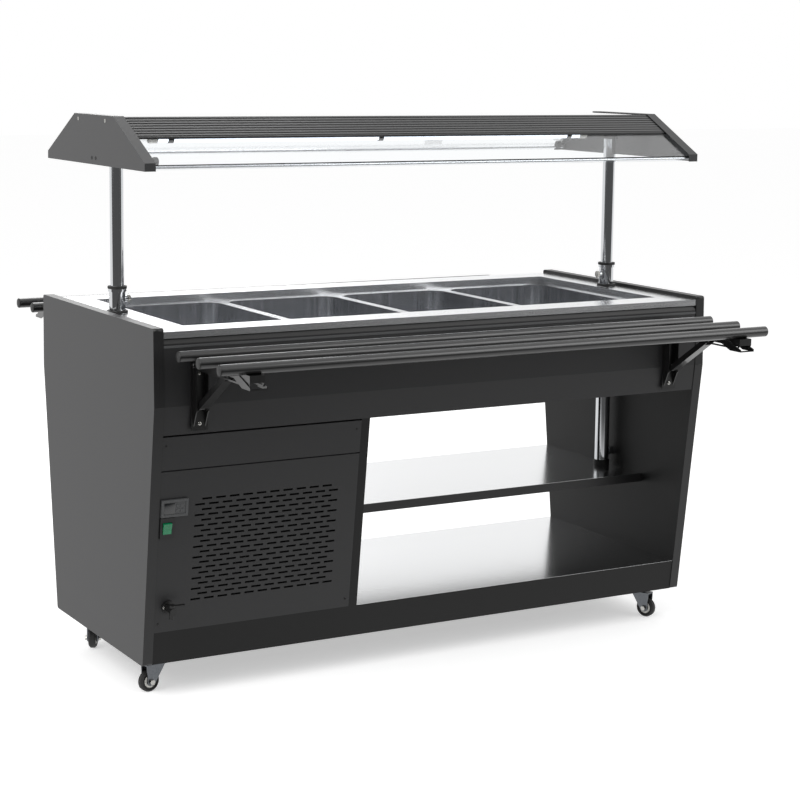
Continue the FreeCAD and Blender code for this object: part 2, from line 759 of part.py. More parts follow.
def lamp():
    """Tube lamp with end caps, hung from the top on three clips."""
    body = new_body("lamp")
    pad(body, "YZ", "-lamp_length / 2", "lamp_length", ("0", "lamp_height", "lamp_radius"))
    for start in ("-lamp_length / 2", "lamp_length / 2 - lamp_cap"):
        pad(body, "YZ", start, "lamp_cap", ("0", "lamp_height", "lamp_cap_radius"))
    for step in ("-1", "0", "1"):
        middle = step + " * lamp_clip_spread"
        pad(body, "YZ", middle + " - lamp_clip_width / 2", "lamp_clip_width",
            ("0", "lamp_height", "lamp_cap_radius"))
        pad(body, "YZ", middle + " - lamp_clip_width / 2", "lamp_clip_width",
            box("-sheet / 2", "lamp_height", "sheet / 2", "hood_ceiling"))


# ---- fold-down tray slides -----------------------------------------------------------------
# Drawn about the arm's pivot: out is the distance from the pivot, away from the cabinet.

def outwards(side, corners):
    """Turn (out, up) corners into the sketch's (y, z) for one side of the cabinet."""
    return [("%s * (%s)" % (MIRROR[side], out), up) for out, up in corners]


def on_pivot(body, side, hand=None, drop="0", angle="0"):
    """Put a bracket piece's own frame on the arm's pivot, or a drop below it."""
    x = MIRROR[hand] + " * bracket_spread" if hand else "0"
    place(body, x=x, y=MIRROR[side] + " * (top_face + pivot_standoff)", z="pivot_height - " + drop,
          axis="x", angle=angle)


def leg(side, hand):
    """Wall leg: plate on the fascia's kink, two ears and the fixed pins of the arm and the brace."""
    body = new_body("%s_leg_%s" % (side, hand))
    back = "(kink_face + leg_seat - top_face - pivot_standoff)"
    face = "(%s + leg_plate)" % back
    out = MIRROR[side]
    pad(body, "XY", "-leg_fall", "leg_fall + leg_rise",
        box("-leg_width / 2", out + " * " + back, "leg_width / 2", out + " * " + face))
    ear = [(face, "ear_reach"), ("ear_reach / 2", "ear_reach"), ("ear_reach", "ear_reach / 2"),
           ("ear_reach", "-brace_drop - ear_reach / 2"), ("ear_reach / 2", "-brace_drop - ear_reach"),
           (face, "ear_reach - leg_fall")]
    for start in ("-ear_outer", "ear_outer - bracket_sheet"):
        pad(body, "YZ", start, "bracket_sheet", outwards(side, ear))
    pad(body, "YZ", "-arm_outer - arm_gap - bracket_sheet", "2 * (arm_outer + arm_gap + bracket_sheet)",
        ("0", "0", "pin_radius"))
    for start in ("-arm_outer - arm_gap - bracket_sheet", "arm_outer + arm_gap"):
        pad(body, "YZ", start, "bracket_sheet", ("0", "0", "pin_radius * 1.5"))
    pad(body, "YZ", "bracket_sheet - ear_outer", "2 * (ear_outer - bracket_sheet)",
        ("0", "-brace_drop", "brace_pin_radius"))
    on_pivot(body, side, hand)


def tray(side):
    """Three tray tubes on two slotted channel arms, one welded frame."""
    body = new_body(side + "_tray")
    out = MIRROR[side]
    cheek = [("-arm_root", "arm_rise"), ("-arm_root", "-arm_fall"), ("arm_length - arm_nose", "-arm_fall"),
             ("arm_length", "arm_nose / 3"), ("arm_length", "arm_rise")]
    slot = [("brace_run - 2 * slot_half_width", "-slot_half_width"),
            ("folded_reach + slot_half_width", "-slot_half_width"),
            ("folded_reach + slot_half_width", "slot_half_width"),
            ("brace_run - 2 * slot_half_width", "slot_half_width")]
    for hand in ("left", "right"):
        middle = MIRROR[hand] + " * bracket_spread"
        pad(body, "XY", "arm_rise - bracket_sheet", "bracket_sheet",
            box(middle + " - arm_outer", out + " * -arm_root", middle + " + arm_outer", out + " * arm_length"))
        pad(body, "XY", "arm_nose / 3", "arm_rise - arm_nose / 3",
            box(middle + " - arm_outer", out + " * (arm_length - bracket_sheet)",
                middle + " + arm_outer", out + " * arm_length"))
        for start in (" - arm_outer", " + arm_inner"):
            pad(body, "YZ", middle + start, "bracket_sheet", outwards(side, cheek), outwards(side, slot),
                ("0", "0", "pin_radius + pin_clearance"))
        for start in (" - catch_outer - catch_gap", " + arm_outer - bracket_sheet / 2"):
            pad(body, "YZ", middle + start, "catch_outer + catch_gap - arm_outer + bracket_sheet / 2",
                (out + " * catch_pivot", "catch_rise", "catch_pin_radius"))
    for step in ("0", "1", "2"):
        where = (out + " * (tray_tube_first + %s * tray_tube_spacing)" % step,
                 "arm_rise + tray_tube_radius - tube_sink")
        pad(body, "YZ", "-tray_tube_length / 2", "tray_tube_length",
            where + ("tray_tube_radius",), where + ("tray_tube_radius - tray_tube_wall",))
    on_pivot(body, side)


def brace(side, hand):
    """Channel strut from the leg's lower pin up into the arm, with a cross pin at its head."""
    body = new_body("%s_brace_%s" % (side, hand))
    high, end, corner = "brace_half_height", "brace_end", "brace_end / 2"
    cheek = [("-" + high, "-" + corner), ("-" + corner, "-" + end), (corner, "-" + end), (high, "-" + corner),
             (high, "brace_length + " + corner), (corner, "brace_length + " + end),
             ("-" + corner, "brace_length + " + end), ("-" + high, "brace_length + " + corner)]
    for start in ("-brace_half_width", "brace_half_width - bracket_sheet"):
        pad(body, "YZ", start, "bracket_sheet", cheek, ("0", "0", "brace_pin_radius + pin_clearance"))
    web = outwards(side, box("brace_half_height - bracket_sheet", "2 * brace_end",
                             "brace_half_height", "brace_length - 2 * brace_end"))
    pad(body, "YZ", "-brace_half_width", "2 * brace_half_width", web)
    pad(body, "YZ", "bracket_sheet - ear_outer + pin_clearance", "2 * (ear_outer - bracket_sheet - pin_clearance)",
        ("0", "brace_length", "brace_pin_radius"))
    on_pivot(body, side, hand, drop="brace_drop", angle="-1 * %s * brace_angle" % MIRROR[side])


def catch(side, hand):
    """Sprung catch round the arm's tip: two cheeks outside the arm and a finger bar under it."""
    body = new_body("%s_catch_%s" % (side, hand))
    cheek = [("-8", "6"), ("-8", "-5"), ("catch_tip - catch_pivot - 40", "-catch_rise - catch_fall"),
             ("catch_tip - catch_pivot", "-catch_rise - catch_fall"),
             ("catch_tip - catch_pivot", "-catch_rise - catch_fall + 6"), ("8", "6")]
    for start in ("-catch_outer", "catch_inner"):
        pad(body, "YZ", start, "bracket_sheet", outwards(side, cheek),
            ("0", "0", "catch_pin_radius + pin_clearance"))
    bar = outwards(side, box("catch_tip - catch_pivot - catch_bar", "-catch_rise - catch_fall",
                             "catch_tip - catch_pivot", "bracket_sheet - catch_rise - catch_fall"))
    pad(body, "YZ", "-catch_outer", "2 * catch_outer", bar)
    place(body, x=MIRROR[hand] + " * bracket_spread",
          y=MIRROR[side] + " * (top_face + pivot_standoff + catch_pivot)", z="pivot_height + catch_rise")


# ---- controls ------------------------------------------------------------------------------

def thermostat():
    body = new_body("thermostat")
    pad(body, "XZ", "0", "thermostat_proud", framed("thermostat", "0"))
    pad(body, "XZ", "-thermostat_back", "thermostat_back", framed("thermostat", "cutout_rim"))
    pocket(body, "XZ", "thermostat_proud - display_depth", "display_depth", framed("thermostat", "display_rim"))
    on_lower_panel(body)


def switch_frame():
    """Splash-proof bezel with an open window for the rocker and its two pivot seats."""
    body = new_body("switch_frame")
    window = box("switch_across - rocker_width / 2 - rocker_gap", "switch_up - rocker_height / 2 - rocker_gap",
                 "switch_across + rocker_width / 2 + rocker_gap", "switch_up + rocker_height / 2 + rocker_gap")
    pad(body, "XZ", "0", "switch_proud", framed("switch", "0"), window)
    pad(body, "XZ", "-switch_back", "switch_back", framed("switch", "cutout_rim"), window)
    pad(body, "XZ", "-switch_back", "sheet", framed("switch", "cutout_rim"))
    seat = "(rocker_width / 2 + rocker_gap + rocker_pin_reach + 0.2)"
    pocket(body, "YZ", "switch_across - " + seat, "2 * " + seat,
           ("0", "switch_up", "rocker_pin + pin_clearance"))
    on_lower_panel(body)


def rocker():
    """Two-way rocker, resting with its lower half pressed in."""
    body = new_body("rocker")
    half = "rocker_height / 2"
    outline = [("rocker_depth", half), ("-rocker_proud", half), ("1 - rocker_proud", "0"),
               ("-rocker_proud", "-" + half), ("rocker_depth", "-" + half)]
    pad(body, "YZ", "-rocker_width / 2", "rocker_width", outline)
    pin = "(rocker_width / 2 + rocker_gap + rocker_pin_reach)"
    pad(body, "YZ", "-" + pin, "2 * " + pin, ("0", "0", "rocker_pin"))
    place(body, x="switch_across", y="-base_face - switch_up * sin(lean)", z="base_height + switch_up * cos(lean)",
          axis="x", angle="lean + rocker_tilt * 1 deg")


def drain_valve():
    """Quarter-turn drain cock: flange on the panel, barrel, spout and lever stem."""
    body = new_body("drain_valve")
    centre = ("valve_across", "valve_up")
    pad(body, "XZ", "-valve_back", "valve_back + valve_reach", centre + ("valve_radius",))
    pad(body, "XZ", "0", "valve_flange", centre + ("valve_flange_radius",))
    front = "(valve_radius - valve_reach)"
    pad(body, "XY", "valve_up - spout_drop", "spout_drop", ("valve_across", front, "spout_radius"))
    pad(body, "XY", "valve_up", "valve_radius + lever_hub + pin_clearance",
        ("valve_across", front, "lever_stem_radius"))
    on_lower_panel(body)


def drain_lever():
    body = new_body("drain_lever")
    low = "valve_up + valve_radius + 2 * pin_clearance"
    front = "(valve_radius - valve_reach)"
    bore = ("valve_across", front, "lever_stem_radius + pin_clearance")
    pad(body, "XY", low, "lever_hub", ("valve_across", front, "lever_hub_radius"), bore)
    pad(body, "XY", low + " + lever_hub / 4", "lever_hub / 2",
        box("valve_across + lever_stem_radius + 2", front + " - lever_width / 2",
            "valve_across + lever_length", front + " + lever_width / 2"))
    on_lower_panel(body)


# ---- castors -------------------------------------------------------------------------------

def castor(place_name, side_x, side_y, angle):
    """Swivel fork with its axle, and the wheel that runs on it."""
    turned = {"axis": "z", "angle": angle}
    x, y = side_x + " * castor_across", side_y + " * castor_along"
    fork = new_body("castor_fork_" + place_name)
    bore = ("0", "0", "kingpin_radius + running_clearance")
    crown_top = "(crown_height + crown_thickness)"
    pad(fork, "XY", crown_top, "plate_bottom - race_gap - " + crown_top, ("0", "0", "race_radius"), bore)
    pad(fork, "XY", "crown_height", "crown_thickness",
        box("-castor_trail - 12", "-cheek_outer", "race_radius - 2", "cheek_outer"), bore)
    cheek = [("race_radius - 4", crown_top), ("-castor_trail - 12", crown_top), ("-castor_trail - 10", "wheel_radius - 5"),
             ("-castor_trail - 5", "wheel_radius - 9"), ("-castor_trail + 5", "wheel_radius - 9"),
             ("-castor_trail + 10", "wheel_radius - 4")]
    for start in ("-cheek_outer", "cheek_inner"):
        pad(fork, "XZ", start, "fork_sheet", cheek)
    pad(fork, "XZ", "-cheek_outer - 2", "2 * cheek_outer + 4", ("-castor_trail", "wheel_radius", "axle_radius"))
    place(fork, x=x, y=y, **turned)

    wheel = new_body("castor_wheel_" + place_name)
    half = "wheel_width / 2"
    bore_radius = "axle_radius + running_clearance"
    outline = [("-" + half, bore_radius), ("-" + half, "wheel_hub_radius"),
               ("wheel_dish - " + half, "wheel_hub_radius + wheel_dish"),
               ("wheel_dish - " + half, "wheel_radius - wheel_round - wheel_dish"),
               ("-" + half, "wheel_radius - wheel_round"), ("wheel_round - " + half, "wheel_radius"),
               (half + " - wheel_round", "wheel_radius"), (half, "wheel_radius - wheel_round"),
               (half + " - wheel_dish", "wheel_radius - wheel_round - wheel_dish"),
               (half + " - wheel_dish", "wheel_hub_radius + wheel_dish"), (half, "wheel_hub_radius"),
               (half, bore_radius)]
    turn(wheel, "YZ", "H_Axis", outline)
    place(wheel, x=x + " - castor_trail * cos(%s)" % angle, y=y + " - castor_trail * sin(%s)" % angle,
          z="wheel_radius", **turned)


# ---- cooling machine -----------------------------------------------------------------------

def compressor():
    """Domed hermetic compressor on a footed plate."""
    body = new_body("compressor")
    outline = [("0", "compressor_foot"), ("compressor_radius * 0.8", "compressor_foot"),
               ("compressor_radius * 0.94", "compressor_height * 0.16"), ("compressor_radius", "compressor_height * 0.3"),
               ("compressor_radius", "compressor_height * 0.68"), ("compressor_radius * 0.9", "compressor_height * 0.84"),
               ("compressor_radius * 0.62", "compressor_height * 0.96"), ("0", "compressor_height")]
    turn(body, "XZ", "V_Axis", outline)
    side = "compressor_radius * 0.9"
    pad(body, "XY", "compressor_foot - sheet", "2 * sheet", box("-" + side, "-" + side, side, side))
    for x in ("-1", "1"):
        for y in ("-1", "1"):
            corner = "(compressor_radius * 0.9 - compressor_foot)"
            pad(body, "XY", "0", "compressor_foot", (x + " * " + corner, y + " * " + corner, "compressor_foot * 0.8"))
    place(body, x="compressor_across", y="compressor_along", z="base_height")


def condenser():
    """Finned coil behind the slots, with the fan's shroud and motor on its back."""
    body = new_body("condenser")
    pad(body, "XY", "base_height", "sheet",
        box("condenser_left", "condenser_front", "condenser_right", "condenser_back + shroud_depth + motor_length"))
    fin = pad(body, "XY", "base_height + sheet", "condenser_height - sheet",
              box("condenser_left", "condenser_front", "condenser_left + fin_thickness", "condenser_back"))
    fins = body.newObject("PartDesign::LinearPattern", "condenser_fins")
    fins.Originals = [fin]
    fins.Direction = (fin.Profile[0], ["H_Axis"])
    fins.setExpression("Length", link("condenser_right - condenser_left - fin_thickness"))
    fins.setExpression("Occurrences", link("fin_count"))
    body.Tip = fins
    for row in range(int(value("coil_rows"))):
        up = "base_height + condenser_height * %g / coil_rows" % (row + 0.5)
        pad(body, "YZ", "condenser_left - 8", "condenser_right - condenser_left + 16",
            ("(condenser_front + condenser_back) / 2", up, "coil_radius"))
    shroud = box("condenser_left", "base_height", "condenser_right", "base_height + condenser_height")
    pad(body, "XZ", "-condenser_back - shroud_depth", "shroud_depth", shroud,
        ("condenser_middle", "fan_height", "fan_radius + fan_clearance"))
    motor_back = "condenser_back + shroud_depth + motor_length"
    pad(body, "XZ", "-(%s)" % motor_back, "motor_length - fan_clearance",
        ("condenser_middle", "fan_height", "motor_radius"))
    pad(body, "XZ", "-(%s)" % motor_back, "motor_length + shroud_depth / 2 + fan_hub_length / 2 - sheet",
        ("condenser_middle", "fan_height", "fan_shaft_radius"))
    pad(body, "XY", "base_height", "fan_height - base_height",
        box("condenser_middle - motor_radius / 2", "condenser_back + shroud_depth + fan_clearance",
            "condenser_middle + motor_radius / 2", motor_back))


def fan():
    """Five-bladed fan on the motor's shaft, inside the shroud."""
    body = new_body("fan")
    half = "fan_hub_length / 2"
    hub = [("fan_shaft_radius + running_clearance", "-" + half), ("fan_hub_radius", "-" + half),
           ("fan_hub_radius", half), ("fan_shaft_radius + running_clearance", half)]
    turn(body, "XY", "V_Axis", hub)
    sketch = draw(body, "YZ", "fan_hub_radius - 2", [box("-blade_width / 2", "-blade_thickness / 2",
                                                         "blade_width / 2", "blade_thickness / 2")])
    sketch.setExpression("AttachmentOffset.Rotation.Angle", link("blade_pitch"))
    for letter in "xyz":
        sketch.setExpression("AttachmentOffset.Rotation.Axis." + letter, "1" if letter == "z" else "0")
    blade = body.newObject("PartDesign::Pad", "fan_blade")
    blade.Profile = sketch
    blade.setExpression("Length", link("fan_radius - fan_hub_radius"))
    pattern = body.newObject("PartDesign::PolarPattern", "fan_spin")
    pattern.Originals = [blade]
    pattern.Axis = (next(item for item in body.Origin.OriginFeatures if item.Role == "Y_Axis"), [""])
    pattern.Angle = 360
    pattern.setExpression("Occurrences", link("fan_blades"))
    body.Tip = pattern
    place(body, x="condenser_middle", y="fan_along", z="fan_height")


# ---- build and write -----------------------------------------------------------------------

for hand in ("left", "right"):
    end_panel(hand)
    guide_tube(hand)
    clamp_screw(hand)
    post(hand)
    hood_end(hand)
for side in ("front", "rear"):
    fascia(side)
    lower_panel(side)
    guard(side)
    rod(side)
    tray(side)
    for hand in ("left", "right"):
        leg(side, hand)
        brace(side, hand)
        catch(side, hand)
for number in (1, 2, 3, 4):
    pan(number)
for piece in (partition, middle_shelf, base, deck, well, hood_cap, lamp, thermostat, switch_frame, rocker,
              drain_valve, drain_lever, compressor, condenser, fan):
    piece()
castor("front_left", "-1", "-1", "10")
castor("front_right", "1", "-1", "115")
castor("rear_left", "-1", "1", "60")
castor("rear_right", "1", "1", "150")

doc.recompute()
faults = ["%s: %s" % (item.Label, item.State) for item in doc.Objects
          if "Invalid" in item.State or "Error" in item.State]
bodies = [item for item in doc.Objects if item.TypeId == "PartDesign::Body"]
for body in bodies:
    if body.Shape.isNull() or not body.Shape.isValid():
        faults.append(body.Label + ": no valid shape")
    elif len(body.Shape.Solids) != 1:
        faults.append("%s: %d solids" % (body.Label, len(body.Shape.Solids)))
if faults:
    raise RuntimeError("; ".join(faults))

os.makedirs("parts", exist_ok=True)
for body in bodies:
    body.Shape.exportStep("parts/%s.step" % body.Label)
print(len(bodies), "sub-parts written")
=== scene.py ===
"""Looks of the mobile salad bar, built round its CAD pieces. Metres, +Z up, controls towards -Y."""
import math

import bpy
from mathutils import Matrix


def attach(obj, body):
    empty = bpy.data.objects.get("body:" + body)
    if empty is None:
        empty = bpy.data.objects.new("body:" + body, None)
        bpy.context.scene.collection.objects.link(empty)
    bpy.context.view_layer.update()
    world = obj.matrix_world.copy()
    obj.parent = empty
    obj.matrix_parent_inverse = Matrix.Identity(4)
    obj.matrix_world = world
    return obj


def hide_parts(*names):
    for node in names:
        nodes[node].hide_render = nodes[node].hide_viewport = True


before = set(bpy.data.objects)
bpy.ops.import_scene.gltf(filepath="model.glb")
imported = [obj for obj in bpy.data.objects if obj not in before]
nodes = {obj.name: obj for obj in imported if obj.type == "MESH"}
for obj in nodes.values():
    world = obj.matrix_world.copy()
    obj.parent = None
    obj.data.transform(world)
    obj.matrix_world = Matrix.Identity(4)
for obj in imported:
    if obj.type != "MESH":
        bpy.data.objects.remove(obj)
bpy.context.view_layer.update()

# Places of the CAD pieces that the small parts sit on.
SIDES = {"front": -1, "rear": 1}
HANDS = {"left": -1, "right": 1}
LEG_X, PIVOT_Y, PIVOT_Z = 0.643, 0.365, 0.776
LEG_FACE_Y = 0.3548
TUBE_Y, TUBE_Z, TUBE_END = (0.416, 0.522, 0.628), 0.806, 0.718
POST_X = 0.694
PANEL_LEAN = math.atan(77 / 602)
PANEL_FOOT_Y, PANEL_FOOT_Z = 0.28472, 0.160
# Hand, side and degrees turned of each castor.
CASTORS = {"front_left": (-1, -1, 10), "front_right": (1, -1, 115),
           "rear_left": (-1, 1, 60), "rear_right": (1, 1, 150)}

MERGE_GAP = 0.000001
SKIN_MERGE_GAP, SKIN_THICKNESS = 0.00001, 0.0004
KNOB_TEETH = 20
# Sockets of the Mix node that share one name: the two floats and the two colours.
FLOAT_A, FLOAT_B, COLOUR_A, COLOUR_B = 2, 3, 6, 7


# ---- making pieces -------------------------------------------------------------------------

def take(piece):
    """Make one piece the only one selected."""
    bpy.ops.object.select_all(action="DESELECT")
    piece.select_set(True)
    bpy.context.view_layer.objects.active = piece


def settle(piece, place=(0, 0, 0), tilt=(0, 0, 0)):
    """Turn a piece about the origin, take it to its place and put both into its mesh."""
    take(piece)
    piece.rotation_euler = tilt
    piece.location = place
    bpy.ops.object.transform_apply()
    return piece


def smooth(piece, angle=35):
    """Shade smooth wherever faces meet under the angle, in degrees."""
    take(piece)
    bpy.ops.object.shade_smooth_by_angle(angle=math.radians(angle))
    return piece


def choose(piece, test):
    """Go into edit mode with only those faces selected that the test picks out."""
    take(piece)
    bpy.ops.object.mode_set(mode="EDIT")
    bpy.ops.mesh.select_mode(type="FACE")
    bpy.ops.mesh.select_all(action="DESELECT")
    bpy.ops.object.mode_set(mode="OBJECT")
    for face in piece.data.polygons:
        face.select = test(face.normal, face.center)
    bpy.ops.object.mode_set(mode="EDIT")


def block(name, low, high, soft=0.001, segments=2):
    """Box between two corners, all its edges rounded."""
    bpy.ops.object.select_all(action="DESELECT")
    bpy.ops.mesh.primitive_cube_add(size=1, location=[(a + b) / 2 for a, b in zip(low, high)])
    piece = bpy.context.object
    piece.name = name
    piece.scale = [b - a for a, b in zip(low, high)]
    bpy.ops.object.transform_apply()
    bpy.ops.object.mode_set(mode="EDIT")
    bpy.ops.mesh.bevel(offset=soft, segments=segments)
    bpy.ops.object.mode_set(mode="OBJECT")
    return smooth(piece)


def lathe(name, profile, steps=40, sweep=360):
    """Spin a closed outline of (radius, height) points round Z."""
    bpy.ops.object.select_all(action="DESELECT")
    bpy.ops.mesh.primitive_circle_add(vertices=len(profile))
    piece = bpy.context.object
    piece.name = name
    for point, (radius, height) in zip(piece.data.vertices, profile):
        point.co = (radius, 0, height)
    bpy.ops.object.mode_set(mode="EDIT")
    bpy.ops.mesh.select_all(action="SELECT")
    if sweep < 360:
        bpy.ops.mesh.edge_face_add()
    bpy.ops.mesh.spin(steps=steps, angle=math.radians(sweep), center=(0, 0, 0), axis=(0, 0, 1))
    bpy.ops.mesh.select_all(action="SELECT")
    bpy.ops.mesh.remove_doubles(threshold=MERGE_GAP)
    bpy.ops.mesh.dissolve_degenerate(threshold=MERGE_GAP)
    bpy.ops.mesh.normals_make_consistent(inside=False)
    bpy.ops.object.mode_set(mode="OBJECT")
    return smooth(piece)


def ring(name, inner, outer, low, high, soft=0.0006, steps=40):
    """Flat ring with softened outer edges."""
    return lathe(name, [(inner, low), (outer - soft, low), (outer, low + soft), (outer, high - soft),
                        (outer - soft, high), (inner, high)], steps)


def button(name, radius, height, crown):
    """Round head with a domed crown, seated at Z = 0."""
    dome = [(radius * math.cos(turn), height - crown + crown * math.sin(turn))
            for turn in (0, math.pi / 8, math.pi / 4, 3 * math.pi / 8)]
    return lathe(name, [(0, 0), (radius, 0)] + dome + [(0, height)], 24)


def screw(name, radius, height):
    """Pan-head screw with a sunk cross in its crown, seated at Z = 0."""
    head = button(name, radius, height, height * 0.6)
    take(head)
    for width, length in ((0.22, 1.1), (1.1, 0.22)):
        bpy.ops.mesh.primitive_cube_add(size=1, location=(0, 0, height))
        cutter = bpy.context.object
        cutter.scale = (width * radius, length * radius, height * 1.2)
        bpy.ops.object.transform_apply()
        take(head)
        cut = head.modifiers.new("cross", "BOOLEAN")
        cut.operation, cut.solver, cut.object = "DIFFERENCE", "EXACT", cutter
        bpy.ops.object.modifier_apply(modifier=cut.name)
        bpy.data.objects.remove(cutter)
    return head


def knurled(name, radius, length):
    """Round knob whose rim is cut into teeth, seated at Z = 0."""
    bpy.ops.object.select_all(action="DESELECT")
    bpy.ops.mesh.primitive_cylinder_add(vertices=2 * KNOB_TEETH, radius=radius, depth=length,
                                        location=(0, 0, length / 2))
    knob = bpy.context.object
    knob.name = name
    bpy.ops.object.transform_apply()
    for point in knob.data.vertices:
        if round(math.degrees(math.atan2(point.co.y, point.co.x)) / (180 / KNOB_TEETH)) % 2:
            point.co.x, point.co.y = point.co.x * 0.9, point.co.y * 0.9
    choose(knob, lambda normal, centre: abs(normal.z) > 0.9)
    bpy.ops.mesh.inset(thickness=radius * 0.12, depth=length * 0.08)
    bpy.ops.object.mode_set(mode="OBJECT")
    return smooth(knob, 20)


def pipe(name, points, radius):
    """Rigid pipe bent along a smooth path."""
    bpy.ops.object.select_all(action="DESELECT")
    bpy.ops.curve.primitive_nurbs_path_add()
    path = bpy.context.object
    path.name = name
    spline = path.data.splines[0]
    spline.points.add(len(points) - len(spline.points))
    for control, point in zip(spline.points, points):
        control.co = (*point, 1)
    spline.order_u = 3
    spline.use_endpoint_u = True
    path.data.bevel_depth = radius
    path.data.bevel_resolution = 4
    path.data.use_fill_caps = True
    bpy.ops.object.convert(target="MESH")
    return smooth(bpy.context.object)


def skin(node, name, keep):
    """Lay a thin sheet on those faces of a CAD piece that the test picks out."""
    piece = bpy.data.objects.new(name, nodes[node].data.copy())
    bpy.context.scene.collection.objects.link(piece)
    take(piece)
    bpy.ops.object.mode_set(mode="EDIT")
    bpy.ops.mesh.select_all(action="SELECT")
    bpy.ops.mesh.remove_doubles(threshold=SKIN_MERGE_GAP)
    bpy.ops.object.mode_set(mode="OBJECT")
    choose(piece, lambda normal, centre: not keep(normal, centre))
    bpy.ops.mesh.delete(type="FACE")
    bpy.ops.object.mode_set(mode="OBJECT")
    sheet = piece.modifiers.new("sheet", "SOLIDIFY")
    sheet.thickness, sheet.offset = SKIN_THICKNESS, 1
    bpy.ops.object.modifier_apply(modifier=sheet.name)
    return piece


def copied(piece, name, place=(0, 0, 0), tilt=(0, 0, 0)):
    """Copy a piece with its mesh, turned about the origin and then moved."""
    take(piece)
    bpy.ops.object.duplicate()
    twin = bpy.context.object
    twin.name = name
    return settle(twin, place, tilt)


def dress(piece, body, finish):
    """Give a piece its finish and the body that carries it."""
    piece.data.materials.clear()
    piece.data.materials.append(finish)
    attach(piece, body)
    return piece


# ---- finishes ------------------------------------------------------------------------------

def tint(hex_colour):
    """Linear colour from an sRGB hex value."""
    parts = [int(hex_colour[start:start + 2], 16) / 255 for start in (1, 3, 5)]
    return [part / 12.92 if part <= 0.04045 else ((part + 0.055) / 1.055) ** 2.4 for part in parts] + [1]


def add(tree, kind, settings, links):
    """Add one node, set its properties and sockets, and link its inputs."""
    node = tree.nodes.new("ShaderNode" + kind)
    for key, setting in settings.items():
        if isinstance(key, str) and hasattr(node, key):
            setattr(node, key, setting)
        else:
            node.inputs[key].default_value = setting
    for key, source in links.items():
        tree.links.new(source, node.inputs[key])
    return node


def start(name, **sockets):
    """New material whose one surface shader has the given sockets set."""
    material = bpy.data.materials.new(name)
    material.use_nodes = True
    tree = material.node_tree
    shader = tree.nodes["Principled BSDF"]
    for key, setting in sockets.items():
        shader.inputs[key.replace("_", " ")].default_value = setting
    return material, tree, shader


def weather(tree, shader, stretch, scale, colours, rough, bump):
    """Vary colour and roughness by one stretched noise and raise it a little as relief."""
    coordinates = add(tree, "TexCoord", {}, {})
    mapped = add(tree, "Mapping", {"Scale": stretch}, {"Vector": coordinates.outputs["Object"]})
    noise = add(tree, "TexNoise", {"Scale": scale, "Detail": 4, "Roughness": 0.6}, {"Vector": mapped.outputs[0]})
    colour = add(tree, "Mix", {"data_type": "RGBA", COLOUR_A: tint(colours[0]), COLOUR_B: tint(colours[1])},
                 {0: noise.outputs[0]})
    tree.links.new(colour.outputs[2], shader.inputs["Base Color"])
    spread = add(tree, "MapRange", {"To Min": rough[0], "To Max": rough[1]}, {"Value": noise.outputs[0]})
    tree.links.new(spread.outputs[0], shader.inputs["Roughness"])
    relief = add(tree, "Bump", {"Strength": bump[0], "Distance": bump[1]}, {"Height": noise.outputs[0]})
    tree.links.new(relief.outputs[0], shader.inputs["Normal"])


# Melamine-faced board, pressed with a pearl texture: a soft sheen, grain about 1 mm. Its lighter grey is painted
# light: a lit copy of the same dark board, for the end panels' outer faces.
painted_lit_melamine, tree, shader = start("painted_lit_melamine", IOR=1.5)
weather(tree, shader, (1, 1, 1), 900, ("#29292a", "#303031"), (0.42, 0.52), (0.12, 0.0002))

# ABS edging, extruded and glued round the boards: darker than the faces and a little smoother.
abs_edging, tree, shader = start("abs_edging", IOR=1.53)
weather(tree, shader, (1, 1, 1), 500, ("#0e0e0f", "#131314"), (0.36, 0.44), (0.08, 0.0002))

# Black melamine board, pearl texture: near black with a weak broad sheen.
black_melamine, tree, shader = start("black_melamine", IOR=1.5)
weather(tree, shader, (1, 1, 1), 900, ("#161617", "#1c1c1d"), (0.40, 0.50), (0.12, 0.0002))

# Charcoal board in the shelf, base and partition: next to no sheen. Laid on the end panels' inner faces it is
# painted shade, a dark copy over their grey board.
charcoal_and_shade_melamine, tree, shader = start("charcoal_and_shade_melamine", IOR=1.4)
weather(tree, shader, (1, 1, 1), 900, ("#060606", "#0b0b0b"), (0.48, 0.58), (0.10, 0.0002))

# Satin stainless sheet on the shelves: a soft mirror of whatever stands behind it.
satin_stainless, tree, shader = start("satin_stainless", Metallic=1.0)
weather(tree, shader, (1, 1, 1), 60, ("#e6e7e8", "#eeeff0"), (0.15, 0.21), (0.01, 0.0001))

# Stainless sheet, belt-brushed along the cabinet: lines about 1 mm apart so that they show.
brushed_stainless, tree, shader = start("brushed_stainless", Metallic=1.0)
weather(tree, shader, (6, 900, 900), 1, ("#e2e3e5", "#f2f3f4"), (0.18, 0.28), (0.03, 0.0001))

# Deep-drawn stainless: upright draw lines, drawn about 8 mm apart so that they show.
drawn_stainless, tree, shader = start("drawn_stainless", Metallic=1.0)
weather(tree, shader, (120, 120, 3), 1, ("#b2b4b8", "#e4e5e7"), (0.14, 0.30), (0.10, 0.0003))

# Foamed polyurethane jacket, moulded: matt, mottled, slightly pitted.
foam_jacket, tree, shader = start("foam_jacket", IOR=1.5)
weather(tree, shader, (1, 1, 1), 120, ("#8d8d8a", "#a3a39f"), (0.8, 0.95), (0.3, 0.0008))

# Chrome plate on drawn tube: mirror bright, with faint upright polishing lines.
chrome_plate, tree, shader = start("chrome_plate", Metallic=1.0)
weather(tree, shader, (500, 500, 4), 1, ("#c9cbce", "#dcdee0"), (0.04, 0.10), (0.02, 0.0001))

# Nickel-plated steel screws: bright, turned.
nickel_plate, tree, shader = start("nickel_plate", Metallic=1.0)
weather(tree, shader, (1, 1, 1), 700, ("#a9a8a4", "#c4c3bf"), (0.18, 0.32), (0.05, 0.0001))

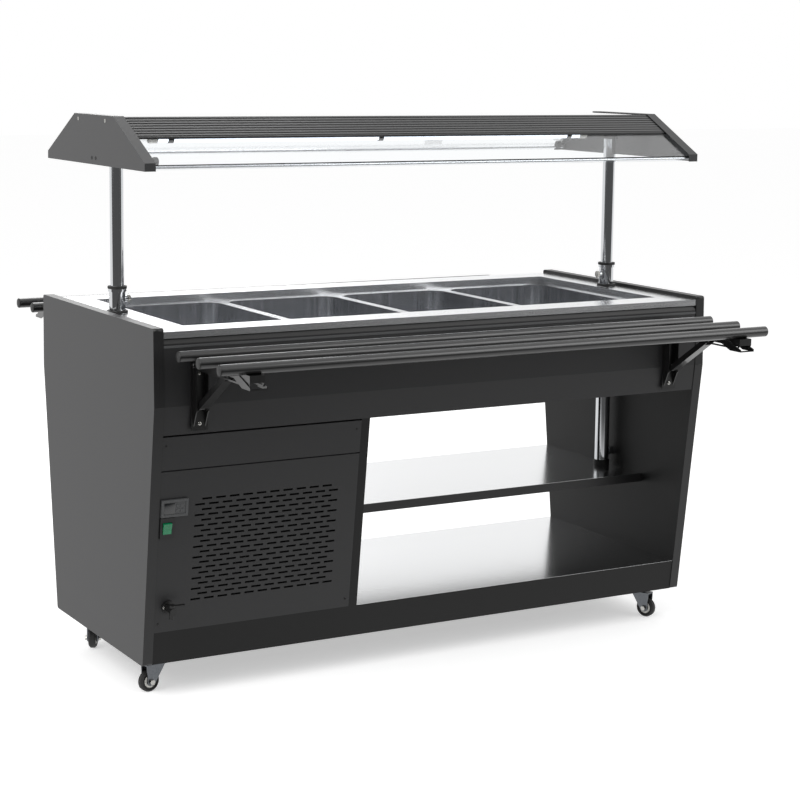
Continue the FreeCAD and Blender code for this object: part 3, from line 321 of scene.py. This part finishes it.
# Black powder coat on steel: fine orange peel, about 2 mm across.
powder_coat, tree, shader = start("powder_coat", IOR=1.5, Coat_Weight=0.7, Coat_Roughness=0.09)
weather(tree, shader, (1, 1, 1), 420, ("#080808", "#0e0e0e"), (0.32, 0.44), (0.08, 0.0002))

# Satin paint on pressed sheet: dark grey, even, a hint of orange peel.
satin_paint, tree, shader = start("satin_paint", IOR=1.5)
weather(tree, shader, (1, 1, 1), 380, ("#2a2a2b", "#303031"), (0.38, 0.48), (0.08, 0.0002))

# Anodised aluminium extrusion: dark, with die lines about 1 mm apart along its length.
anodised_black, tree, shader = start("anodised_black", IOR=1.6, Coat_Weight=0.3, Coat_Roughness=0.25)
weather(tree, shader, (3, 1000, 1000), 1, ("#08080a", "#0f1012"), (0.30, 0.42), (0.06, 0.0002))

# Black lacquer on the hood's flat crown: face-on nearly black, a mirror when seen along it.
crown_lacquer, tree, shader = start("crown_lacquer", IOR=1.5, Coat_Weight=1.0, Coat_Roughness=0.03)
weather(tree, shader, (1, 1, 1), 40, ("#101011", "#161617"), (0.05, 0.09), (0.01, 0.0001))

# Cast acrylic sheet: clear, flat and nearly colourless.
cast_acrylic, tree, shader = start("cast_acrylic", IOR=1.49, Transmission_Weight=1.0)
weather(tree, shader, (1, 1, 1), 3, ("#fafcfd", "#fdfeff"), (0.0, 0.01), (0.0, 0.0001))

# Opal lamp tube: powder-coated glass, lit.
opal_glass, tree, shader = start("opal_glass", IOR=1.5, Emission_Strength=1.6)
weather(tree, shader, (1, 1, 1), 200, ("#eef5ff", "#f7faff"), (0.15, 0.25), (0.02, 0.0001))
shader.inputs["Emission Color"].default_value = tint("#e6f0ff")

# Grey ABS: bezel and keys, spark-eroded mould texture, grain about 1 mm. The same grey also makes the painted
# highlight strips along the fascias.
abs_grey_and_highlight, tree, shader = start("abs_grey_and_highlight", IOR=1.53)
weather(tree, shader, (1, 1, 1), 800, ("#3a3b3c", "#454647"), (0.45, 0.58), (0.15, 0.0002))

# Black ABS: the same mould texture.
abs_black, tree, shader = start("abs_black", IOR=1.53)
weather(tree, shader, (1, 1, 1), 800, ("#050505", "#0a0a0a"), (0.40, 0.55), (0.15, 0.0002))

# Smoked polycarbonate window: smooth and dark.
smoked_window, tree, shader = start("smoked_window", IOR=1.58, Coat_Weight=0.6, Coat_Roughness=0.03)
weather(tree, shader, (1, 1, 1), 80, ("#0b0d0f", "#111316"), (0.06, 0.12), (0.01, 0.0001))

# Green translucent polycarbonate rocker, polished and softly lit from inside.
green_lens, tree, shader = start("green_lens", IOR=1.58, Emission_Strength=0.06)
weather(tree, shader, (1, 1, 1), 300, ("#06482c", "#0f7a50"), (0.12, 0.22), (0.03, 0.0001))
shader.inputs["Emission Color"].default_value = tint("#12a868")

# White polyamide: plugs and terminals, slightly waxy.
white_nylon, tree, shader = start("white_nylon", IOR=1.53)
weather(tree, shader, (1, 1, 1), 400, ("#cfcec8", "#e2e1dc"), (0.35, 0.5), (0.05, 0.0002))

# Zinc plate on pressed steel: grey-blue, spangled a few mm across.
zinc_plate, tree, shader = start("zinc_plate", Metallic=1.0)
weather(tree, shader, (1, 1, 1), 260, ("#55585c", "#7d8084"), (0.28, 0.46), (0.06, 0.0002))

# Black solid-rubber tyre, moulded: matt, dusted a little lighter.
moulded_rubber, tree, shader = start("moulded_rubber", IOR=1.52)
weather(tree, shader, (1, 1, 1), 500, ("#131313", "#202020"), (0.55, 0.75), (0.2, 0.0003))

# Black air-drying enamel on the compressor's shell: glossy, slightly wavy.
stove_enamel, tree, shader = start("stove_enamel", IOR=1.5, Coat_Weight=0.5, Coat_Roughness=0.12)
weather(tree, shader, (1, 1, 1), 90, ("#0d0d0e", "#151516"), (0.22, 0.34), (0.12, 0.0004))

# Copper tube, drawn: warm, patchily dulled by handling.
drawn_copper, tree, shader = start("drawn_copper", Metallic=1.0)
weather(tree, shader, (1, 1, 1), 160, ("#b4662f", "#d98c55"), (0.18, 0.40), (0.05, 0.0002))

# Aluminium fins, mill finish, in fine rolled lines.
mill_aluminium, tree, shader = start("mill_aluminium", Metallic=1.0)
weather(tree, shader, (900, 900, 12), 1, ("#a8aaad", "#c3c5c7"), (0.28, 0.42), (0.08, 0.0001))

NODE_FINISHES = {
    painted_lit_melamine: ["end_panel_left", "end_panel_right"],
    black_melamine: ["front_fascia", "rear_fascia", "front_grille", "rear_grille"],
    charcoal_and_shade_melamine: ["partition", "middle_shelf", "base"],
    brushed_stainless: ["deck"],
    drawn_stainless: ["pan_1", "pan_2", "pan_3", "pan_4"],
    foam_jacket: ["well"],
    chrome_plate: ["guide_tube_left", "guide_tube_right", "post_left", "post_right",
                   "front_rod", "rear_rod"],
    nickel_plate: ["clamp_screw_left", "clamp_screw_right"],
    satin_paint: ["hood_end_left", "hood_end_right"],
    anodised_black: ["hood_top"],
    cast_acrylic: ["front_guard", "rear_guard"],
    opal_glass: ["lamp"],
    abs_grey_and_highlight: ["thermostat"],
    abs_black: ["switch_frame", "fan", "drain_valve", "drain_lever"],
    green_lens: ["rocker"],
    stove_enamel: ["compressor"],
    mill_aluminium: ["condenser"],
    powder_coat: ["front_tray", "rear_tray"] + ["%s_%s_%s" % (side, kind, hand) for side in SIDES
                                                for kind in ("leg", "brace", "catch") for hand in HANDS],
    zinc_plate: ["castor_fork_" + corner for corner in CASTORS],
    moulded_rubber: ["castor_wheel_" + corner for corner in CASTORS],
}
for finish, names in NODE_FINISHES.items():
    for name in names:
        for socket in nodes[name].material_slots:
            socket.material = finish


# ---- cabinet boards ------------------------------------------------------------------------

BASE_TOP_Z = 0.159
HIGHLIGHT_STRIP_HALF, HIGHLIGHT_STRIP_Y, HIGHLIGHT_STRIP_Z = 0.7255, 0.3495, 0.8185

for hand, out in HANDS.items():
    edging = skin("end_panel_" + hand, "edging_" + hand, lambda normal, centre: abs(normal.x) < 0.5)
    dress(edging, "root", abs_edging)
    # The end panels' inner faces are painted shade: the near-black board laid over their grey board.
    painted_shade_face = skin("end_panel_" + hand, "lining_" + hand, lambda normal, centre: -out * normal.x > 0.5)
    dress(painted_shade_face, "root", charcoal_and_shade_melamine)
shelf_face = skin("middle_shelf", "shelf_face", lambda normal, centre: normal.z > 0.9)
dress(shelf_face, "root", satin_stainless)
floor_face = skin("base", "bottom_face", lambda normal, centre: normal.z > 0.9 and centre.z > BASE_TOP_Z)
dress(floor_face, "root", satin_stainless)
shelf_edge = skin("middle_shelf", "shelf_edging", lambda normal, centre: abs(normal.y) > 0.9)
dress(shelf_edge, "root", abs_edging)
for side, out in SIDES.items():
    bevel = skin(side + "_fascia", side + "_bevel_band",
                 lambda normal, centre: normal.z > 0.2 and abs(normal.y) > 0.5)
    dress(bevel, "root", abs_black)
    # A thin grey strip along each fascia: a painted highlight where light catches the fascia's bevel.
    highlight_strip = block(side + "_bead", (-HIGHLIGHT_STRIP_HALF, -0.0007, -0.0028), (HIGHLIGHT_STRIP_HALF, 0.0007, 0.0028), 0.0006)
    settle(highlight_strip, (0, out * HIGHLIGHT_STRIP_Y, HIGHLIGHT_STRIP_Z))
    dress(highlight_strip, "root", abs_grey_and_highlight)

# ---- telescoping posts ---------------------------------------------------------------------

CLAMP_X, CLAMP_Z = 0.6690, 0.885
# Rubber rings on each guide tube: inner and outer radius, lower and upper height.
POST_RINGS = {
    "mouth_ring": (0.0163, 0.0225, 0.9095, 0.9158),
    "deck_ring": (0.0191, 0.0246, 0.8523, 0.8588),
    "foot_cap": (0.0191, 0.0212, 0.3652, 0.3815),
}

for hand, out in HANDS.items():
    for name, shape in POST_RINGS.items():
        post_ring = settle(ring("%s_%s" % (name, hand), *shape), (out * POST_X, 0, 0))
        dress(post_ring, "root", moulded_rubber)
    knob = knurled("clamp_knob_" + hand, 0.0086, 0.0062)
    settle(knob, (out * CLAMP_X, 0, CLAMP_Z), (0, math.radians(-90 * out), 0))
    dress(knob, "clamp_" + hand, nickel_plate)
    socket_sleeve = settle(ring("socket_sleeve_" + hand, 0.0205, 0.0222, 1.2412, 1.3050), (out * POST_X, 0, 0))
    dress(socket_sleeve, "hood", abs_black)

# ---- hood ----------------------------------------------------------------------------------

CROWN_Z = 1.309
LAMP_Z, LAMP_CAP_X = 1.252, 0.593
LAMP_CLIPS_X = (-0.560, 0, 0.560)
LAMP_TUBE = [(0, -0.600), (0.0072, -0.600), (0.0078, -0.598), (0.0078, 0.598), (0.0072, 0.600), (0, 0.600)]
LAMP_CAP = [(0, 0), (0.0086, 0), (0.0095, 0.001), (0.0095, 0.020), (0.0086, 0.022), (0, 0.022)]
HOOD_PLATE_X, HOOD_SCREWS = 0.7491, ((0.096, 1.300), (-0.074, 1.300), (0.012, 1.213), (-0.012, 1.213))
BRIGHT_SCREWS_ABOVE_Z = 1.25
GUARD_KNOB_X, GUARD_KNOB_Y, GUARD_KNOB_Z = 0.7235, 0.262, 1.2145
GUARD_KNOB = [(0, 0), (0.004, 0), (0.004, 0.010), (0.0095, 0.011), (0.0105, 0.013), (0.0105, 0.020),
              (0.0090, 0.022), (0, 0.0222)]

crown = skin("hood_top", "hood_crown", lambda normal, centre: normal.z > 0.99 and centre.z > CROWN_Z)
dress(crown, "hood", crown_lacquer)
tube = lathe("lamp_tube", LAMP_TUBE)
settle(tube, (0, 0, LAMP_Z), (0, math.radians(90), 0))
dress(tube, "hood", opal_glass)
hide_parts("lamp")
for hand, out in HANDS.items():
    cap = lathe("lamp_cap_" + hand, LAMP_CAP)
    settle(cap, (out * LAMP_CAP_X, 0, LAMP_Z), (0, math.radians(90 * out), 0))
    dress(cap, "hood", white_nylon)
for number, across in enumerate(LAMP_CLIPS_X, start=1):
    grip = ring("lamp_grip_%d" % number, 0.0079, 0.0094, -0.007, 0.007)
    settle(grip, (across, 0, LAMP_Z), (0, math.radians(90), 0))
    dress(grip, "hood", abs_black)
    hanger = block("lamp_hanger_%d" % number, (across - 0.007, -0.001, 1.2612), (across + 0.007, 0.001, 1.3056),
                   0.0003)
    dress(hanger, "hood", abs_black)
plate_screw = screw("hood_plate_screw", 0.0045, 0.0009)
for hand, out in HANDS.items():
    for number, (along, up) in enumerate(HOOD_SCREWS, start=1):
        twin = copied(plate_screw, "hood_screw_%s_%d" % (hand, number), (out * HOOD_PLATE_X, along, up),
                      (0, math.radians(90 * out), 0))
        dress(twin, "hood", nickel_plate if up > BRIGHT_SCREWS_ABOVE_Z else abs_black)
    for side, away in SIDES.items():
        knob = lathe("guard_knob_%s_%s" % (side, hand), GUARD_KNOB)
        settle(knob, (out * GUARD_KNOB_X, away * GUARD_KNOB_Y, GUARD_KNOB_Z), (0, math.radians(-90 * out), 0))
        dress(knob, "hood", abs_black)
bpy.data.objects.remove(plate_screw)

# ---- tray slides ---------------------------------------------------------------------------

LEG_SCREWS_Z = (0.757, 0.645)
PIVOT_HALF_WIDTH = 0.0200
TUBE_PLUG = [(0, -0.006), (0.0108, -0.006), (0.0108, 0), (0.0124, 0), (0.0124, 0.0012), (0.0112, 0.0026),
             (0.0070, 0.0036), (0, 0.0040)]

plug = lathe("tube_plug", TUBE_PLUG, 32)
fixing = screw("leg_screw", 0.0045, 0.0026)
rivet = button("rivet", 0.0058, 0.0022, 0.0016)
for side, away in SIDES.items():
    for hand, out in HANDS.items():
        for number, along in enumerate(TUBE_Y, start=1):
            twin = copied(plug, "plug_%s_%s_%d" % (side, hand, number), (out * TUBE_END, away * along, TUBE_Z),
                          (0, math.radians(90 * out), 0))
            dress(twin, side + "_tray", abs_black)
        for number, up in enumerate(LEG_SCREWS_Z, start=1):
            twin = copied(fixing, "leg_screw_%s_%s_%d" % (side, hand, number),
                          (out * LEG_X, away * LEG_FACE_Y, up), (math.radians(-90 * away), 0, 0))
            dress(twin, "root", nickel_plate)
        for number, step in enumerate((-1, 1), start=1):
            twin = copied(rivet, "pivot_rivet_%s_%s_%d" % (side, hand, number),
                          (out * LEG_X + step * PIVOT_HALF_WIDTH, away * PIVOT_Y, PIVOT_Z),
                          (0, math.radians(90 * step), 0))
            dress(twin, "root", powder_coat)
for spare in (plug, fixing, rivet):
    bpy.data.objects.remove(spare)

# ---- controls on the leaning front panel ---------------------------------------------------

# Measured on the panel itself, across it and up from its foot.
KEYS = ((-0.684, 0.301), (-0.674, 0.301), (-0.684, 0.290), (-0.674, 0.290))
KEY_HALF = 0.0035
VALVE_X, VALVE_SCREW_UP = -0.695, 0.060
PANEL_SCREWS = ((-0.716, 0.020), (-0.716, 0.440), (-0.240, 0.020), (-0.240, 0.440))


def on_panel(piece):
    """Take a piece drawn on an upright panel, foot at the origin, to the leaning front panel."""
    return settle(piece, (0, -PANEL_FOOT_Y, PANEL_FOOT_Z), (PANEL_LEAN, 0, 0))


window = on_panel(block("display_window", (-0.7165, -0.0052, 0.2835), (-0.6905, -0.0044, 0.3085), 0.0003))
dress(window, "root", smoked_window)
for number, (across, up) in enumerate(KEYS, start=1):
    key = block("thermostat_key_%d" % number, (across - KEY_HALF, -0.0056, up - KEY_HALF),
                (across + KEY_HALF, -0.0040, up + KEY_HALF), 0.0006)
    dress(on_panel(key), "root", abs_grey_and_highlight)
for number, across in enumerate((-0.0245, 0.0245), start=1):
    lug = screw("valve_screw_%d" % number, 0.0026, 0.0016)
    settle(lug, (VALVE_X + across * 0.45, -0.0040, VALVE_SCREW_UP), (math.radians(90), 0, 0))
    dress(on_panel(lug), "root", nickel_plate)
panel_screw = screw("panel_screw", 0.0035, 0.0012)
for number, (across, up) in enumerate(PANEL_SCREWS, start=1):
    twin = copied(panel_screw, "panel_screw_%d" % number, (across, 0, up), (math.radians(90), 0, 0))
    dress(on_panel(twin), "root", abs_black)
bpy.data.objects.remove(panel_screw)

# ---- cooling machine behind the slots ------------------------------------------------------

CONDENSER_X, CONDENSER_Y, CONDENSER_HALF = -0.340, -0.193, 0.098
BENDS_Z, BEND_RADIUS, COPPER_RADIUS = (0.198, 0.236, 0.274, 0.312), 0.019, 0.0048
DRIER = [(0, -0.050), (0.004, -0.050), (0.005, -0.040), (0.013, -0.028), (0.014, -0.024), (0.014, 0.024),
         (0.013, 0.028), (0.005, 0.040), (0.004, 0.050), (0, 0.050)]
# Radius and path of each refrigerant line.
LINES = {
    "liquid_line": (0.0035, [(-0.438, -0.193, 0.179), (-0.460, -0.193, 0.179), (-0.490, -0.200, 0.170),
                             (-0.530, -0.216, 0.168), (-0.530, -0.214, 0.182)]),
    "hot_line": (0.0035, [(-0.438, -0.193, 0.331), (-0.470, -0.190, 0.345), (-0.500, -0.120, 0.350),
                          (-0.530, -0.060, 0.330), (-0.545, -0.010, 0.280), (-0.548, -0.006, 0.245)]),
    "cold_line": (0.0030, [(-0.530, -0.197, 0.276), (-0.532, -0.194, 0.320), (-0.560, -0.150, 0.420),
                           (-0.570, -0.060, 0.520), (-0.565, -0.020, 0.580), (-0.565, -0.005, 0.625)]),
}
RELAY_LOOPS_X, RELAY_LOOP_RADIUS = (-0.516, -0.503, -0.490), 0.0032
RELAY_LOOP = ((-0.250, 0.308), (-0.264, 0.296), (-0.262, 0.280), (-0.244, 0.276), (-0.232, 0.290),
              (-0.240, 0.310))
FINS, FIRST_FIN_X, FIN_PITCH, FIN_THICKNESS = 9, -0.428, 0.0055, 0.0022

for number, up in enumerate(BENDS_Z, start=1):
    end = 1 if number % 2 else -1
    section = [(BEND_RADIUS + COPPER_RADIUS * math.cos(turn), COPPER_RADIUS * math.sin(turn))
               for turn in [step * math.pi / 5 for step in range(10)]]
    bend = lathe("condenser_bend_%d" % number, section, 20, 180)
    settle(bend, (CONDENSER_X + end * CONDENSER_HALF, CONDENSER_Y, up),
           (math.radians(90), math.radians(90 * end), 0))
    dress(bend, "root", drawn_copper)
drier = lathe("filter_drier", DRIER)
settle(drier, (-0.530, -0.205, 0.228), (math.radians(12), 0, 0))
dress(drier, "root", drawn_copper)
for name, (radius, points) in LINES.items():
    dress(pipe(name, points, radius), "root", drawn_copper)
terminal_box = block("terminal_box", (-0.590, -0.048, 0.225), (-0.530, -0.010, 0.285), 0.004, 3)
dress(terminal_box, "root", abs_black)
connector = block("terminal_plug", (-0.548, -0.060, 0.238), (-0.526, -0.046, 0.272), 0.002)
dress(connector, "root", white_nylon)
# The start relay sits on an arm whose tab is fixed to the condenser's left side.
relay = block("start_relay", (-0.524, -0.262, 0.306), (-0.482, -0.236, 0.346), 0.003)
dress(relay, "root", white_nylon)
arm = block("relay_arm", (-0.524, -0.236, 0.320), (-0.438, -0.234, 0.340), 0.0005)
dress(arm, "root", zinc_plate)
tab = block("relay_tab", (-0.441, -0.235, 0.320), (-0.438, -0.196, 0.340), 0.0005)
dress(tab, "root", zinc_plate)
for number, along in enumerate(RELAY_LOOPS_X, start=1):
    loop = pipe("relay_loop_%d" % number, [(along, *point) for point in RELAY_LOOP], RELAY_LOOP_RADIUS)
    dress(loop, "root", drawn_copper)
for number in range(FINS):
    along = FIRST_FIN_X + FIN_PITCH * number
    fin = block("cooler_fin_%d" % (number + 1), (along, -0.262, 0.262), (along + FIN_THICKNESS, -0.214, 0.336),
                0.0003, 1)
    dress(fin, "root", mill_aluminium)
seam = settle(ring("shell_seam", 0.0770, 0.0800, -0.004, 0.004, 0.001, 56), (-0.555, 0.060, 0.243))
dress(seam, "root", stove_enamel)

# ---- castors -------------------------------------------------------------------------------

CASTOR_X, CASTOR_Y, CASTOR_TRAIL, AXLE_Z = 0.682, 0.200, 0.024, 0.025
CASTOR_NUT = [(0, 0.0150), (0.0068, 0.0150), (0.0068, 0.0185), (0.0058, 0.0195), (0, 0.0195)]

for corner, (hand, side, degrees) in CASTORS.items():
    turn = math.radians(degrees)
    x, y = hand * CASTOR_X, side * CASTOR_Y
    axle = (x - CASTOR_TRAIL * math.cos(turn), y - CASTOR_TRAIL * math.sin(turn), AXLE_Z)
    for number, step in enumerate((-1, 1), start=1):
        lie = (math.radians(-90 * step), 0, turn)
        hub = ring("castor_hub_%s_%d" % (corner, number), 0.0045, 0.0150, 0.0062, 0.0078, 0.0005, 32)
        dress(settle(hub, axle, lie), "wheel_" + corner, white_nylon)
        nut = lathe("castor_nut_%s_%d" % (corner, number), CASTOR_NUT, 6)
        dress(settle(nut, axle, lie), "fork_" + corner, nickel_plate)
    race = settle(ring("castor_race_" + corner, 0.0060, 0.0200, 0.0655, 0.0738, 0.0012, 40), (x, y, 0))
    dress(race, "fork_" + corner, zinc_plate)

# ---- studio and camera ---------------------------------------------------------------------

# Level direction from the part towards the lens.
LENS_X, LENS_Y = -0.35, -0.93

bpy.ops.object.select_all(action="DESELECT")
bpy.ops.mesh.primitive_plane_add(size=60)
floor = bpy.context.object
floor.name = "studio_floor"
paper, tree, shader = start("studio_paper", Roughness=0.9)
shader.inputs["Base Color"].default_value = tint("#ededed")
shader.inputs["Specular IOR Level"].default_value = 0.0
# The paper is white to the lens and in glass. In mirrors it falls off to dark on the lens's side.
path = add(tree, "LightPath", {}, {})
spot = add(tree, "TexCoord", {}, {})
away = add(tree, "VectorMath", {"operation": "DOT_PRODUCT", 1: (LENS_X, LENS_Y, 0)}, {0: spot.outputs["Object"]})
fall = add(tree, "MapRange", {"interpolation_type": "SMOOTHSTEP", "From Min": 0.9, "From Max": 2.6,
                              "To Min": 1.0, "To Max": 0.10}, {"Value": away.outputs["Value"]})
mirrored = add(tree, "Emission", {"Color": (1, 1, 1, 1)}, {"Strength": fall.outputs[0]})
lift = add(tree, "Emission", {"Color": (1, 1, 1, 1), "Strength": 0.46}, {})
lifted = add(tree, "AddShader", {}, {0: shader.outputs[0], 1: lift.outputs[0]})
direct = add(tree, "MixShader", {}, {0: path.outputs["Is Camera Ray"], 1: shader.outputs[0],
                                     2: lifted.outputs[0]})
through = add(tree, "MixShader", {}, {0: path.outputs["Is Transmission Ray"], 1: direct.outputs[0],
                                      2: lifted.outputs[0]})
mixed = add(tree, "MixShader", {}, {0: path.outputs["Is Glossy Ray"], 1: through.outputs[0],
                                    2: mirrored.outputs[0]})
tree.links.new(mixed.outputs[0], tree.nodes["Material Output"].inputs["Surface"])
floor.data.materials.append(paper)

world = bpy.data.worlds.new("studio")
bpy.context.scene.world = world
world.use_nodes = True
tree = world.node_tree
path = add(tree, "LightPath", {}, {})
direction = add(tree, "TexCoord", {}, {})
towards = add(tree, "VectorMath", {"operation": "DOT_PRODUCT", 1: (LENS_X, LENS_Y, 0.10)},
              {0: direction.outputs["Generated"]})
dark = add(tree, "MapRange", {"interpolation_type": "SMOOTHSTEP", "From Min": 0.45, "From Max": 0.80,
                              "To Min": 1.0, "To Max": 0.08}, {"Value": towards.outputs["Value"]})
glossy = add(tree, "Mix", {"data_type": "FLOAT", FLOAT_A: 0.62},
             {0: path.outputs["Is Glossy Ray"], FLOAT_B: dark.outputs[0]})
clear = add(tree, "Math", {"operation": "MAXIMUM"},
            {0: path.outputs["Is Camera Ray"], 1: path.outputs["Is Transmission Ray"]})
strength = add(tree, "Mix", {"data_type": "FLOAT", FLOAT_B: 1.0}, {0: clear.outputs[0], FLOAT_A: glossy.outputs[0]})
tree.links.new(strength.outputs[0], tree.nodes["Background"].inputs["Strength"])
tree.nodes["Background"].inputs["Color"].default_value = (1, 1, 1, 1)

for name, place, size, power, aim in (("key", (-3.4, -1.6, 3.2), 2.6, 95, (60, 0, -62)),
                                      ("fill", (2.6, -3.4, 2.8), 2.4, 45, (58, 0, 38)),
                                      ("back", (0.5, 3.2, 3.0), 2.6, 60, (-52, 0, -8))):
    light = bpy.data.lights.new(name, "AREA")
    light.energy, light.size = power, size
    lamp = bpy.data.objects.new(name, light)
    lamp.location = place
    lamp.rotation_euler = [math.radians(angle) for angle in aim]
    bpy.context.scene.collection.objects.link(lamp)

camera = bpy.data.objects.new("camera", bpy.data.cameras.new("camera"))
camera.location = (-2.41407, -4.36861, 1.45117)
camera.rotation_euler = [math.radians(angle) for angle in (81.98, -0.70, -29.79)]
camera.data.lens = 90.42
camera.data.shift_x, camera.data.shift_y = -0.01415, -0.075
bpy.context.scene.collection.objects.link(camera)
bpy.context.scene.camera = camera
bpy.context.scene.view_settings.view_transform = "Standard"
